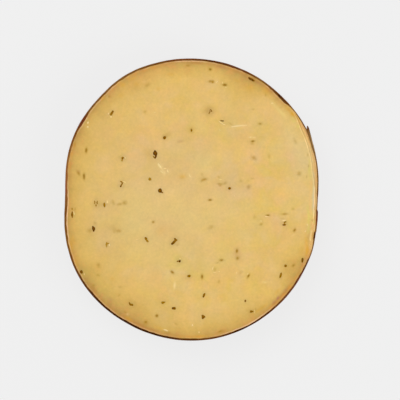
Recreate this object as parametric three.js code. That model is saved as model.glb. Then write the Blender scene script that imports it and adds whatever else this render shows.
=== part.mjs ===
import * as THREE from 'three';
import { mergeVertices } from 'three/addons/utils/BufferGeometryUtils.js';

// A thick slab cut straight across a smoked, caraway-seeded cheese loaf.
// Millimetres, +Z up out of the cut face. The slab lies on its other cut face,
// with the loaf's slightly squared oval in the XY plane and its long way along Y.

// ---- driving dimensions ----------------------------------------------------
const WIDTH = 95.4;              // across the slab, X
const HEIGHT = 105.9;            // along the slab, Y
const THICKNESS = 18;            // between the two cut faces, Z
const SQUARENESS = 2.176;        // exponent of the oval: 2 is an ellipse

// Slow swellings of the outline, as waves per turn with their two amplitudes.
const SWELLINGS = [
  { waves: 2, cos: 0.325, sin: 0.165 },
  { waves: 3, cos: 0.154, sin: 0.013 },
  { waves: 4, cos: 0.010, sin: 0.187 },
  { waves: 5, cos: 0.031, sin: -0.007 },
  { waves: 6, cos: -0.364, sin: -0.006 },
  { waves: 7, cos: 0.003, sin: 0.043 },
  { waves: 8, cos: -0.109, sin: 0.006 },
];

// Places where the rind stands proud, in degrees round from +X: a sudden rise
// at `from`, easing back into the outline at `to`.
const RIND_LAPS = [
  { from: 32.5, to: 20, proud: 0.78 },     // torn tip at the end of the bare stretch
  { from: -4.5, to: -15, proud: 0.32 },    // overlapping flake below the middle
];

// The right-hand margin of the cut face is worn away to a narrow slope.
const WORN = { start: -36, full: -20, fade: 26, end: 45, width: 1.6, drop: 1.1 };

const EDGE_ROUND = 0.35;         // knife edges of both cut faces, all round
const WALL_WAVE = 0.12;          // slow hollows in the rind between the faces
const KNIFE_WAVE = 0.10;         // slow rise and fall of the upper cut face

const AROUND = 180;              // steps round the outline
const WALL_STEPS = 5;            // steps up the rind
const FACE_RINGS = [0.96, 0.84, 0.62, 0.36];  // rings of the upper cut face

// ---- outline ---------------------------------------------------------------
const smooth = (x, a, b) => THREE.MathUtils.smoothstep(x, Math.min(a, b), Math.max(a, b));

// Signed angle in degrees, between -180 and 180.
function signedDegrees(angle) {
  const d = THREE.MathUtils.radToDeg(angle) % 360;
  return d > 180 ? d - 360 : d < -180 ? d + 360 : d;
}

function lapHeight(deg) {
  let out = 0;
  for (const { from, to, proud } of RIND_LAPS) {
    if (deg <= from && deg >= to) out += proud * smooth(deg, to, from);
    else if (deg > from && deg < from + 1.5) out += proud * (1 - (deg - from) / 1.5);
  }
  return out;
}

// Distance from the middle of the slab to the outside of the rind.
function outline(angle) {
  const a = WIDTH / 2, b = HEIGHT / 2;
  let r = (Math.abs(Math.cos(angle) / a) ** SQUARENESS
         + Math.abs(Math.sin(angle) / b) ** SQUARENESS) ** (-1 / SQUARENESS);
  for (const { waves, cos, sin } of SWELLINGS) {
    r += cos * Math.cos(waves * angle) + sin * Math.sin(waves * angle);
  }
  return r + lapHeight(signedDegrees(angle));
}

// How far the worn slope has taken hold at this angle, 0 to 1.
function worn(angle) {
  const deg = signedDegrees(angle);
  return smooth(deg, WORN.start, WORN.full) * (1 - smooth(deg, WORN.fade, WORN.end));
}

// ---- section up the wall at one angle: [inset from the outline, height] ------
function wallSection(angle) {
  const w = worn(angle);
  const drop = Math.max(EDGE_ROUND, w * WORN.drop);
  const inset = Math.max(EDGE_ROUND, w * WORN.width);
  const section = [
    [EDGE_ROUND, 0],
    [EDGE_ROUND * 0.3, EDGE_ROUND * 0.3],
  ];
  const low = EDGE_ROUND, high = THICKNESS - drop - 0.25;
  for (let i = 0; i <= WALL_STEPS; i++) {
    const t = i / WALL_STEPS;
    const hollow = WALL_WAVE * Math.sin(Math.PI * t) ** 2
      * (1 + Math.sin(3 * angle + 0.6) + 0.6 * Math.sin(7 * angle + 2.1)) / 2;
    section.push([Math.max(0, hollow), low + (high - low) * t]);
  }
  section.push([0.12, THICKNESS - drop]);
  section.push([0.12 + (inset - 0.12) * 0.55, THICKNESS - drop * 0.42]);
  section.push([inset, THICKNESS]);
  return section;
}

// ---- one closed skin ---------------------------------------------------------
function slabGeometry() {
  const rings = [];
  const angles = Array.from({ length: AROUND }, (_, i) => (2 * Math.PI * i) / AROUND);
  const sections = angles.map(wallSection);
  for (let k = 0; k < sections[0].length; k++) {
    rings.push(angles.map((angle, i) => {
      const [inset, z] = sections[i][k];
      const r = outline(angle) - inset;
      return new THREE.Vector3(r * Math.cos(angle), r * Math.sin(angle), z);
    }));
  }
  const rim = rings[rings.length - 1];
  for (const f of FACE_RINGS) {
    rings.push(rim.map((p) => {
      const x = p.x * f, y = p.y * f;
      const fade = smooth(1 - f, 0, 0.16);
      const wave = Math.sin(y / 11 + x / 40 + 0.8) * 0.6 + Math.sin(y / 23 - x / 31) * 0.4;
      return new THREE.Vector3(x, y, p.z - KNIFE_WAVE * fade * (1 + wave) / 2);
    }));
  }

  const positions = [];
  const push = (...points) => points.forEach((p) => positions.push(p.x, p.y, p.z));
  const bottom = new THREE.Vector3(0, 0, 0);
  const top = new THREE.Vector3(0, 0, THICKNESS - KNIFE_WAVE / 2);
  const last = rings[rings.length - 1];
  for (let i = 0; i < AROUND; i++) {
    const j = (i + 1) % AROUND;
    push(bottom, rings[0][j], rings[0][i]);
    for (let k = 0; k + 1 < rings.length; k++) {
      const a = rings[k][i], b = rings[k][j], c = rings[k + 1][j], d = rings[k + 1][i];
      push(a, b, c);
      push(a, c, d);
    }
    push(last[i], last[j], top);
  }

  const loose = new THREE.BufferGeometry();
  loose.setAttribute('position', new THREE.Float32BufferAttribute(positions, 3));
  loose.computeBoundingBox();
  const { min, max } = loose.boundingBox;
  loose.translate(-(min.x + max.x) / 2, -(min.y + max.y) / 2, 0);
  const skin = mergeVertices(loose, 1e-4);
  skin.computeVertexNormals();
  return skin;
}

// ---- scene graph -------------------------------------------------------------
const cheese = new THREE.Mesh(
  slabGeometry(),
  new THREE.MeshStandardMaterial({ color: new THREE.Color('#dfbc70'), roughness: 0.45, metalness: 0 }),
);
cheese.name = 'cheese';

const part = new THREE.Group();
part.add(cheese);

export default part;
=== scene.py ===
import math

import bpy
import numpy as np
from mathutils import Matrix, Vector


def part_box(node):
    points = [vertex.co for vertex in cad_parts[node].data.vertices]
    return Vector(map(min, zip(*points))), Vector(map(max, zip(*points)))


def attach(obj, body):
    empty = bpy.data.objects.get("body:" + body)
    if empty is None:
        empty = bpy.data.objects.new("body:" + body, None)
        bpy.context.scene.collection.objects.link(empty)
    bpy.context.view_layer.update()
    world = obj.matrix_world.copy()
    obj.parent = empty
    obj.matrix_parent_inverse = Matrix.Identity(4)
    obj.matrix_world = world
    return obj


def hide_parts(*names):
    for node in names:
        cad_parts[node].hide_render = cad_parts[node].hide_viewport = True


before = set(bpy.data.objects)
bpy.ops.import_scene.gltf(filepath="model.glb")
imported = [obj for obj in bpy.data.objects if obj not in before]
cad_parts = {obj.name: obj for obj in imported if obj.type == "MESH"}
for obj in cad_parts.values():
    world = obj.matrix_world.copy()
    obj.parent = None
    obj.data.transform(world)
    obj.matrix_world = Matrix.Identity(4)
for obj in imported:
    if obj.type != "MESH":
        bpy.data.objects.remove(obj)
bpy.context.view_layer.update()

# A thick slab cut across a smoked caraway cheese loaf, lying on one cut face.
# Everything below is worked out in millimetres and scaled to metres as the
# meshes are made. x is right, y is up in plan, z is out of the upper cut face.
MM = 0.001
low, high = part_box("cheese")
THICK = (high.z - low.z) / MM

# ---- outline ---------------------------------------------------------------
WIDTH, HEIGHT, SQUARENESS = 95.4, 105.9, 2.176
SWELLINGS = [
    (2, 0.325, 0.165), (3, 0.154, 0.013), (4, 0.010, 0.187), (5, 0.031, -0.007),
    (6, -0.364, -0.006), (7, 0.003, 0.043), (8, -0.109, 0.006),
]
# Slight hollows where the casing was tied and hung: degrees round from +x and depth in mm.
HOLLOWS = [
    (0, .06), (4, 0), (10, -.08), (15, -.05), (19, 0), (22, .05), (26, .02), (30, -.03), (36, -.04), (42, -.02), (49, .03), (54, 0),
    (60, -.05), (65, .02), (70, .09), (75, .02), (80, .045), (89, 0), (95, .08), (99, .18), (104, .28), (108, .20), (113, .05), (119, -.04),
    (124, .02), (129, .22), (133, .27), (141, .21), (146, .12), (152, .10), (160, .05), (166, .08), (171, .20), (177, .28), (182, .24), (187, .10),
    (192, .03), (198, .14), (204, .27), (212, .25), (220, .18), (230, .11), (236, .14), (243, .25), (248, .22), (254, .27), (260, .20), (266, .07),
    (271, .04), (278, .08), (286, .155), (294, .125), (300, .03), (306, -.02), (313, -.07), (319, .02), (327, .15), (332, .09), (338, -.07), (344, .03),
    (350, 0), (356, .10),
]
# Flakes of rind standing proud of the loaf: from, to (degrees round from +x), height at
# each end in mm, and how many degrees the step at each end takes.
LAPS = [(31.0, 4.0, 0.09, 0.08, 2.0, 4.0), (-5.5, -14.0, 0.25, 0.18, 0.8, 0.9), (-14.6, -26.0, 0.08, 0.05, 1.5, 4.0)]
WORN_START, WORN_FULL, WORN_FADE, WORN_END = -36.0, -20.0, 26.0, 45.0
WORN_WIDTH, WORN_DROP = 1.6, 1.1

AROUND_GRID = 273                    # points along one side of the face's square grid
COLUMNS = 4 * (AROUND_GRID - 1)      # columns round the wall


def smooth(x, a, b):
    t = np.clip((x - a) / (b - a), 0.0, 1.0)
    return t * t * (3 - 2 * t)


def bump(x, centre, width):
    return np.exp(-0.5 * ((x - centre) / width) ** 2)


def signed(deg):
    return (deg + 180.0) % 360.0 - 180.0


def laps(deg):
    out = np.zeros_like(deg)
    for start, end, high_start, high_end, step_start, step_end in LAPS:
        t = np.clip((start - deg) / (start - end), 0, 1)
        rise = 1 - smooth(deg, start, start + step_start)
        fall = smooth(deg, end - step_end, end)
        out += (high_start * (1 - t) + high_end * t) * rise * fall
    return out


def plain_outline(theta):
    """Radius of the loaf in mm, without the places where the rind stands proud."""
    r = (np.abs(np.cos(theta) / (WIDTH / 2)) ** SQUARENESS
         + np.abs(np.sin(theta) / (HEIGHT / 2)) ** SQUARENESS) ** (-1 / SQUARENESS)
    for k, c, s in SWELLINGS:
        r = r + c * np.cos(k * theta) + s * np.sin(k * theta)
    return r


def outline(theta):
    return plain_outline(theta) + laps(signed(np.degrees(theta))) - round_table(theta, HOLLOWS)


def worn(theta):
    deg = signed(np.degrees(theta))
    return smooth(deg, WORN_START, WORN_FULL) * (1 - smooth(deg, WORN_FADE, WORN_END))


def round_noise(theta, seed, lowest, highest, count=14):
    """Smooth noise that closes on itself round the slab, about -1 to 1."""
    rng = np.random.default_rng(seed)
    out = np.zeros_like(theta)
    for _ in range(count):
        k = int(rng.integers(lowest, highest + 1))
        out += np.sin(k * theta + rng.uniform(0, 2 * math.pi))
    return out / math.sqrt(count)


def plane_noise(x, y, seed, wavelength, count=16, stretch=1.0, direction=0.0):
    """Smooth noise over the plane, about -1 to 1, drawn out along a direction."""
    rng = np.random.default_rng(seed)
    c, s = math.cos(direction), math.sin(direction)
    u, v = (x * c + y * s) / stretch, -x * s + y * c
    out = np.zeros_like(x)
    for _ in range(count):
        a = rng.uniform(0, 2 * math.pi)
        w = wavelength * rng.uniform(0.7, 1.5)
        out += np.sin(2 * math.pi * (u * math.cos(a) + v * math.sin(a)) / w + rng.uniform(0, 2 * math.pi))
    return out / math.sqrt(count)


def round_table(theta, table):
    """Smooth periodic run through (degrees, value) pairs."""
    deg = np.degrees(theta) % 360.0
    keys = sorted((d % 360.0, v) for d, v in table)
    d = np.array([k[0] for k in keys])
    v = np.array([k[1] for k in keys])
    d = np.concatenate([[d[-1] - 360], d, [d[0] + 360]])
    v = np.concatenate([[v[-1]], v, [v[0]]])
    i = np.clip(np.searchsorted(d, deg, side="right") - 1, 0, len(d) - 2)
    t = (deg - d[i]) / (d[i + 1] - d[i])
    return v[i] + (v[i + 1] - v[i]) * t * t * (3 - 2 * t)


# The CAD solid is centred on its own box, so the same shift is taken here.
_t = np.radians(np.arange(0, 360, 2.0))
_r = plain_outline(_t) + laps(signed(np.degrees(_t)))
SHIFT_X = -(np.max(_r * np.cos(_t)) + np.min(_r * np.cos(_t))) / 2
SHIFT_Y = -(np.max(_r * np.sin(_t)) + np.min(_r * np.sin(_t))) / 2

# Rind: how wide its cut edge is, how dark, and how far smoke has coloured the
# cheese inside it, all by degrees round from +x.
RIND_WIDTH = 0.84
RIND_DARK = [
    (-27, .78), (-24, .58), (-18.4, .62), (-17.6, .90), (-15, .92), (-14.2, .5), (-11, .6), (-9.6, .86), (-5.4, .95), (-4.4, .42),
    (0, .46), (3, .78), (6, .80), (10, .72), (16, .62), (20, .70), (26, .56), (28, .42), (31, .30), (33, .72), (35, .84), (38, .62), (42, .54),
    (46, .86), (50, .90), (55, .67), (60, .55), (66, .76), (70, .86), (76, .86), (80, .90), (85, .86), (90, .78), (96, .74), (102, .68), (115, .60), (122, .56), (130, .60),
    (139, .66), (142.4, .76), (143.6, .96), (145.2, .94), (147, .74), (150, .68), (156, .56), (165, .40), (174, .34), (181, .56), (186, .66), (192, .62), (200, .58), (210, .78), (215, .84), (221, .90),
    (226, 1.0), (231, 1.1), (246, 1.1), (251, 1.02), (256, 1.06), (262, .94), (266, .86), (270, .88), (276, .76), (285, .92), (290, 1.12), (295, 1.16), (301, 1.0), (312, .78), (320, .84), (326, .94), (331, .92),
]
RIND_RED = [
    (-27, .1), (-20, 0), (-17, .1), (-13, .1), (-9, .7), (-5, .6), (-4, 0), (0, .1), (3, .2), (10, 0), (30, .05), (60, .05), (69, .25), (72, .3), (76, .1), (85, .1), (91, .4), (96, .35), (102, .05),
    (140, .1), (143.5, .6), (145.4, .6), (148, .25), (153, .2), (162, .35), (168, .7), (176, 1), (179, .5), (183, .2), (196, .1), (260, 0), (300, .1), (318, .3), (326, .45), (333, .35),
]
# Width of the rind where the margin is worn thin, by degrees round from +x.
THIN_RIND = [
    (-30, .84), (-27.4, .84), (-26.2, .52), (-22, .50), (-18.6, .56), (-17.8, .80), (-14.9, .82), (-14.2, .66), (-11.5, .68), (-9.8, .78), (-8.6, .80),
    (-5.3, .80), (-4.5, .47), (-1, .46), (2.5, .58), (8, .54), (14, .54), (18, .56), (20.5, .64), (22, .74), (25, .66), (28, .54), (31, .50), (34, .60), (40, .48), (43.5, .72), (46, .98),
]
# The pale lip of cheese just inside the rind, by degrees round from +x.
LIP = [
    (46, .1), (50, .15), (60, .1), (68, .15), (72, .2), (78, .25), (84, .5), (88, .8), (94, .7), (98, .2), (104, .05), (112, .05), (118, .1), (122, .3), (130, .4), (136, .45),
    (141, .2), (146, .5), (149, .3), (152, .1), (158, .05), (166, .1), (171, .15), (174, .45), (179, .7), (184, 1.0), (188, 1.1), (194, 1.0), (198, .6), (204, .35),
    (214, .4), (222, .4), (230, .4), (238, .45), (246, .35), (254, .45), (259, .2), (266, .05), (274, .1), (280, .3), (286, .65), (292, 1.0), (299, 1.1), (304, .6), (309, .1), (320, .05), (330, .05), (336, 0),
]
# Where the smoke has left a bright orange band under the rind.
GLOW = [
    (36, .1), (46, .1), (60, .15), (70, .35), (74, .4), (79, .1), (96, 0), (102, .5), (110, .6), (117, .5), (121, .05), (152, 0), (157, .6), (164, .6), (168, .1), (175, 0), (200, .05),
    (215, .15), (236, .25), (250, .3), (262, .1), (267, .7), (273, .6), (277, .1), (284, .1), (300, .1), (306, .55), (314, .65), (320, .75), (325, .55), (330, .42), (336, .36), (344, .30), (352, .12), (4, .25), (10, .3), (16, 0),
]
SMOKE = [
    (0, .12), (15, .08), (30, .18), (42, .46), (50, .95), (58, 1.04), (66, 1.16), (78, 1.0), (90, .92), (110, .9),
    (126, .96), (140, .92), (155, .92), (166, .95), (180, .88), (195, .88), (208, 1.0), (218, 1.22), (232, 1.28),
    (245, 1.28), (256, .98), (270, .82), (285, .88), (300, .88), (312, .92), (324, .95), (333, .85), (342, .46), (350, .2),
]
# A browner band of smoke about 1.5 mm inside the outline, by degrees round from +x.
NEAR = [
    (36, 0), (46, .05), (55, .60), (64, .14), (75, .50), (86, .66), (95, .18), (105, .40), (114, .10), (126, .20), (136, .24), (146, .20), (155, .06), (165, .42), (175, .08),
    (186, .20), (195, 0), (205, .26), (214, .02), (225, .30), (235, .32), (246, 1.15), (256, .62), (266, .22), (276, .03), (297, 0), (306, .24), (311, .95), (317, .90), (323, .1), (340, 0),
]
# The low step where the worn margin begins, by degrees round from +x: how far inside the
# outline it runs in mm, how strong the painted highlight along its lip is, and how dark the line outside it.
LEDGE = [
    (-13, 1.60, 0, 0), (-10, 1.72, .45, .30), (-8, 1.70, .85, .50), (-6, 1.64, 1.0, .60), (-4, 1.50, .95, .4), (-2, 1.28, 1.0, .1), (0, 1.30, 1.0, .25), (2, 1.42, .9, .45), (4, 1.60, .7, .5), (6, 1.78, .55, .5),
    (8, 2.00, .45, .45), (10, 2.20, .40, .45), (12, 2.35, .35, .15), (14, 2.48, .35, .2), (16, 2.42, .55, .2), (18, 2.38, .55, .2), (20, 2.34, .45, .2), (22, 2.34, .6, .3),
    (24, 2.32, .8, .35), (26, 2.26, .8, .35), (28, 2.30, .6, .30), (30, 2.30, .55, .35), (32, 2.16, .50, .55), (34, 1.88, .65, .70), (36, 1.58, .7, .6), (38, 1.18, .35, .5), (40, 1.0, .2, .2), (42, .9, 0, 0),
]


def rind_width(theta):
    deg = signed(np.degrees(theta))
    w = RIND_WIDTH + 0.05 * round_noise(theta, 11, 5, 40) + 0.035 * round_noise(theta, 12, 60, 150)
    w += 0.38 * bump(deg, 47.0, 3.8) + 0.60 * bump(deg, 144.3, 1.7) - 0.08 * bump(deg, -125, 4) + 0.05 * bump(deg, -135, 4) + 0.08 * bump(deg, -114, 5) + 0.18 * bump(np.abs(signed(deg - 180)), 0, 8)
    w -= 0.06 * bump(deg, 61, 7) + 0.05 * bump(signed(deg - 285), 0, 16) + 0.08 * bump(deg, -62, 6) + 0.07 * bump(deg, -47, 7)
    thin = np.interp(deg, [k[0] for k in THIN_RIND], [k[1] for k in THIN_RIND]) + 0.03 * round_noise(theta, 15, 30, 120)
    here = smooth(deg, -30, -28) * (1 - smooth(deg, 44, 46))
    return np.clip(w * (1 - here) + thin * here, 0.3, 1.2)


def crest_inset(theta):
    """How far inside the outline the flat of the cut face ends."""
    w = worn(theta)
    return rind_width(theta) * (1 - w) + (WORN_WIDTH + 0.12 * round_noise(theta, 13, 8, 30)) * w


def rind_top(theta):
    """Height of the rind's cut edge."""
    z = THICK - WORN_DROP * worn(theta)
    return z - 0.02 + 0.02 * round_noise(theta, 14, 10, 60)


# ---- seeds -----------------------------------------------------------------
# Caraway cut by the knife: x, y, length, width in mm, direction in degrees,
# tone from 0 (pale film) to 1 (bare dark husk), form of the cut, and its bend.
SEEDS = [
    (-13.48, 17.34, 2.29, 1.60, 98, 1.00, "diamond", .05), (-13.36, 15.94, 1.35, .55, 56, .97, "oval", 0), (-14.06, 15.99, .95, .32, 121, .69, "oval", .10),
    (-4.37, -23.06, .73, .65, 80, 1.00, "box", 0), (-5.09, -23.08, .65, .38, 4, .88, "oval", 0), (-36.67, -10.92, 2.22, 1.09, 97, 1.00, "diamond", -.22),
    (-11.69, 3.35, 1.62, 1.34, 100, .96, "oval", .05), (-10.97, 2.73, .97, .42, 148, .81, "oval", 0), (-6.45, -15.88, 2.17, .87, 45, .84, "oval", .05),
    (-7.13, -16.50, .78, .64, 45, .86, "oval", 0), (-6.08, -14.80, .91, .54, 108, .84, "oval", 0), (-5.54, -15.20, .73, .60, 60, .70, "oval", 0),
    (-41.15, -27.07, 1.25, .89, 112, .94, "oval", 0), (-6.55, -40.67, 1.39, .89, 3, .87, "box", 0), (-10.02, 23.14, 1.08, 1.03, 30, .85, "oval", 0),
    (22.31, 45.15, 2.17, .78, 150, .95, "oval", .10), (23.16, 44.57, 1.05, .60, 160, .82, "oval", 0), (14.31, 4.22, .92, .90, 20, .81, "oval", 0),
    (-25.76, 15.55, .92, .64, 96, .86, "oval", 0), (-25.64, 15.62, 1.14, .32, 4, .70, "oval", 0), (-25.94, 14.72, .77, .49, 90, .56, "oval", 0),
    (34.82, -9.42, 1.35, .57, 2, .77, "oval", 0), (34.92, -8.58, .88, .47, 66, .75, "oval", 0), (35.29, -8.34, .65, .32, 10, .57, "oval", 0),
    (-26.22, 6.67, 1.03, .36, 150, .71, "oval", 0), (-26.01, 5.67, 1.57, .41, 62, .77, "oval", .10), (-26.41, 4.99, .62, .54, 62, .94, "oval", 0),
    (41.59, -22.71, 1.71, .66, 82, .87, "oval", 0), (4.47, -43.89, 1.35, 1.35, 0, .86, "tri", 0), (-22.69, -39.05, 1.82, .59, 140, .85, "oval", .55),
    (-22.17, -39.40, .72, .70, 120, .87, "oval", 0), (4.74, -35.81, 1.80, .67, 62, .88, "oval", 0), (-29.76, 32.35, 1.95, .77, 55, .77, "box", .06),
    (-.84, -28.61, 1.14, .89, 2, .77, "oval", 0), (11.52, 29.49, 1.29, .29, 172, 1.00, "oval", .12), (-16.99, -14.61, 1.17, .89, 110, .79, "oval", 0),
    (-16.51, -15.45, 1.29, .75, 130, .61, "oval", 0), (-44.59, -5.62, 2.52, .68, 90, .88, "diamond", 0), (-44.61, -3.49, .77, .48, 95, .51, "oval", 0),
    (20.21, -37.91, .77, .52, 88, .89, "oval", 0), (22.54, -41.90, 1.25, .67, 4, .80, "tri", 0), (35.28, -24.79, .90, .78, 88, .80, "oval", 0),
    (7.22, 33.54, .71, .29, 20, .83, "oval", .50), (7.62, 33.15, .61, .29, 100, .87, "oval", .30), (6.92, 32.85, .68, .29, 60, .83, "oval", -.30),
    (6.67, 32.30, .50, .29, 70, .55, "oval", 0), (33.45, -28.34, 2.08, .73, 76, .75, "oval", 0), (-15.52, 7.66, 1.11, .94, 100, .64, "oval", 0),
    (-10.56, -38.53, 1.38, .80, 10, .67, "tri", 0), (.06, 25.96, 1.04, .60, 88, .84, "diamond", 0), (-32.54, -2.03, 1.81, .58, 96, .70, "oval", 0),
    (-36.22, -1.04, 1.26, .28, 92, .70, "oval", -.35), (-35.18, -1.09, 1.26, .28, 88, .68, "oval", .35), (-35.66, -2.17, .84, .33, 92, .66, "oval", 0),
    (-31.71, -16.86, 1.91, .55, 88, .50, "oval", .10), (-31.23, -16.55, .97, .44, 20, .50, "oval", .40),
]
# Caraway just below the cut, seen through the cheese as soft stains: x, y,
# length, width, direction, strength. Honey-brown ones first, then greyer ones.
HONEY = [
    (12.53, 42.94, 1.60, .95, 176, 1.47), (7.00, -.16, 1.50, .80, 2, 1.23), (11.23, -22.66, 1.60, .70, 178, 1.40), (-12.94, -43.50, 1.15, 1.15, 0, 1.31),
    (28.63, -5.88, 1.45, .55, 178, 1.45), (7.10, 48.75, 1.10, .95, 0, 1.27), (6.60, 49.50, 1.00, .50, 130, .25), (23.03, 21.90, 1.40, .65, 4, 1.17),
    (22.90, 21.10, 1.20, 1.15, 95, .53), (21.36, -28.60, 1.60, .75, 55, 1.29), (-39.32, 18.40, 2.10, .95, 84, 1.37), (4.04, -28.86, 1.80, .92, 92, 1.25),
    (38.66, -11.43, 1.45, .95, 64, 1.08), (-14.26, -8.39, 1.00, 1.00, 0, 1.08), (-40.17, 8.70, 2.50, .92, 92, 1.29), (25.73, 28.37, 1.40, .80, 0, .99),
    (17.28, -21.95, 1.15, 1.10, 0, 1.15), (17.04, -19.24, 1.40, .95, 92, 1.36), (-7.10, -27.19, 1.60, .90, 140, 1.29), (-32.64, -1.86, 1.00, .65, 95, .55),
    (-.01, 26.14, 1.60, 1.10, 88, .37), (38.20, -24.65, 1.35, .95, 40, .99), (26.14, -9.21, 1.20, .85, 22, .80), (-17.07, -45.83, 1.30, 1.05, 14, 1.00),
    (8.75, -26.09, 1.25, 1.00, 125, .57), (10.67, -49.33, 1.80, .60, 24, .87), (-10.04, 23.27, 1.50, 1.40, 30, .39), (-.82, -28.63, 1.90, 1.50, 0, .22),
    (35.36, -24.98, 1.50, 1.40, 0, .21), (-10.52, -38.63, 2.00, 1.30, 10, .18), (14.30, 4.17, 1.50, 1.40, 0, .26), (33.48, -28.30, 2.40, 1.10, 76, .31),
    (22.53, -41.93, 1.90, 1.20, 4, .29), (-16.70, -15.10, 2.20, 1.20, 122, .22), (22.70, 45.00, 3.40, 1.20, 150, .68), (41.63, -22.49, 2.20, 1.10, 82, .31),
    (-25.80, 15.40, 2.20, 1.80, 0, .21), (-26.10, 5.80, 2.60, 1.30, 60, .18), (-41.10, -27.00, 2.30, 1.80, 112, .05), (-22.40, -39.20, 2.80, 1.50, 140, .23),
    (-35.70, -1.50, 2.60, 2.00, 90, .13), (35.00, -9.00, 2.20, 1.80, 0, .17), (-6.50, -15.80, 3.40, 2.00, 45, .20), (-31.50, -16.80, 2.40, 1.40, 75, .22),
]
SUNK = [
    (23.38, 15.61, 2.00, 1.20, 150, .60), (40.35, 9.65, 1.50, 1.30, 67, .51), (7.27, -10.34, 2.00, 1.10, 22, .45), (-24.81, -1.20, 1.50, 1.30, 137, .62),
    (-26.86, -1.74, 1.80, .80, 11, .54), (18.57, 7.00, .90, .90, 67, .27), (-34.75, -24.56, 1.60, 1.00, 107, .51), (-17.31, 32.92, 1.10, .80, 13, .46),
    (12.67, 6.16, 1.40, .90, 24, .40), (21.46, 4.75, 1.60, 1.40, 40, .52), (-29.24, -.96, 1.60, .90, 112, .38), (38.88, 21.89, 1.80, .90, 116, .34),
    (-36.09, -8.79, .90, .90, 56, .38), (-24.70, -42.13, 1.20, .70, 145, .53), (14.70, 28.42, 1.80, .60, 148, .34), (-28.80, -11.70, 1.60, 1.20, 95, .22),
    (-27.20, -11.75, 1.50, .90, 175, .46), (-34.90, -28.31, 1.10, .80, 161, .45), (-3.45, 8.40, 1.30, 1.00, 171, .12), (29.11, 16.16, 1.20, .80, 90, .33),
    (43.93, 12.60, 1.00, .40, 90, .63), (45.60, -7.90, 1.00, .90, 90, .60), (-5.10, -16.97, 1.00, .60, 51, .38), (-1.26, 50.16, 1.40, .70, 0, .60),
    (10.37, -30.70, 1.20, .80, 90, .42), (38.01, -3.48, 1.20, .80, 161, .34), (-3.98, 21.64, 1.60, .70, 8, .08), (-27.05, -35.83, 1.00, .60, 48, .39),
    (18.48, -27.27, 1.20, .80, 37, .37), (22.26, 5.85, 1.00, .60, 30, .05), (21.30, 7.05, 1.00, .60, 150, .23), (22.86, 7.84, .90, .60, 0, .33),
    (20.30, 6.20, .90, .60, 60, .14), (-29.60, -9.90, 1.20, 1.00, 0, .07), (-43.44, -3.54, 1.00, .40, 90, .50), (10.31, 8.40, 1.00, .60, 138, .37),
    (9.82, -23.58, 1.30, .40, 0, .47), (-36.52, -32.03, .90, .80, 70, .35), (23.72, -6.56, 1.50, 1.00, 96, .27), (34.19, -7.08, 1.30, .40, 0, .29),
    (43.56, 16.73, 1.00, .40, 90, .39), (4.00, 9.60, .90, .80, 136, .27), (24.06, -41.01, 1.00, .40, 90, .31), (43.18, 8.49, 1.00, .40, 90, .39),
    (23.12, 33.79, 1.00, .40, 0, .41), (-21.19, -38.46, .90, .60, 136, .23), (27.81, 39.23, 1.00, .50, 90, .39), (-5.69, -46.58, 1.20, .60, 135, .40),
    (8.00, 44.05, .95, .85, 0, 1.10), (6.95, 44.20, .95, .85, 0, .71), (7.60, 44.50, 1.60, .50, 0, .28), (4.90, 7.50, 1.90, .65, 12, .74),
    (4.00, 7.00, 1.30, .60, 45, .38), (10.70, 5.90, 1.70, .45, 0, .62), (10.80, 5.30, .70, .90, 90, .55), (34.90, -5.40, 1.90, .70, 2, .69),
    (-42.20, 9.90, 1.80, .80, 120, .79), (-37.90, -11.60, 1.60, 1.50, 0, .46), (11.50, -49.40, 2.30, .70, 18, .44), (-30.73, 38.60, 1.00, .60, 177, .64),
    (-16.42, 42.84, 1.80, 1.00, 37, .46), (-28.00, -11.20, 4.20, 2.40, 165, .13), (4.20, 8.00, 2.20, 1.60, 20, .20), (6.40, 33.30, 3.20, 2.80, 20, .26),
    (17.20, -20.40, 3.00, 5.00, 0, .14), (-8.90, 24.20, 2.60, 1.50, 30, .27), (-1.60, -29.40, 2.60, 1.00, 10, .10), (-34.00, -1.90, 5.40, 1.90, 0, .09),
    (-31.50, -1.40, 3.40, 1.20, 10, .10), (-16.00, 17.00, 2.80, 4.00, 0, .17), (-9.20, -49.60, 3.00, .70, 172, .28), (-36.60, -33.30, 3.20, 1.40, 118, .32),
    (-43.60, 20.60, 1.80, .60, 80, .80), (-17.30, -46.50, 1.70, 1.40, 53, .34), (-26.70, -32.70, 1.40, .90, 0, .31), (18.70, 6.90, 1.60, 1.40, 52, .04),
]
# Pale smears, crumbs and torn lips: x, y, length, width, direction, strength.
PALE = [
    (17.7, 27.5, 7.2, .9, 5, .38), (-11.4, 12.2, 3.2, 1.6, 127, .40), (-8.6, 10.6, 1.8, 1.2, 119, .30), (-10.6, 10.5, 2.0, 1.2, 128, .45), (-10.0, 9.7, 1.7, .8, 80, .40), (-6.27, -32.12, 2.8, .85, 84, .85), (27.3, -30.9, 2.4, .7, 178, .5),
    (34.7, -7.8, 1.8, .9, 7, .35), (-0.5, 8.9, 1.8, 1.0, 121, .35), (-9.5, -48.9, 2.2, .8, 163, .35), (-31.0, -0.8, 1.4, .9, 93, .3), (22.8, 23.3, 2.6, .6, 178, .35),
    (38.1, -13.3, 1.6, .7, 20, .3), (-31.5, 38.5, 1.0, .5, 60, .2), (-39.3, 30.3, .8, 1.0, 70, .4), (32.0, 38.6, 2.8, .5, -24, .2), (44.3, -17.6, .6, 3.2, 4, .3),
    (-23.9, -42.9, 1.1, 1.0, 44, .3), (-17.6, 44.2, 1.6, 1.4, 0, .15), (2.6, -39.1, .9, .7, 30, .25), (14.9, -31.2, 1.4, .7, 0, .2),
]
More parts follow.
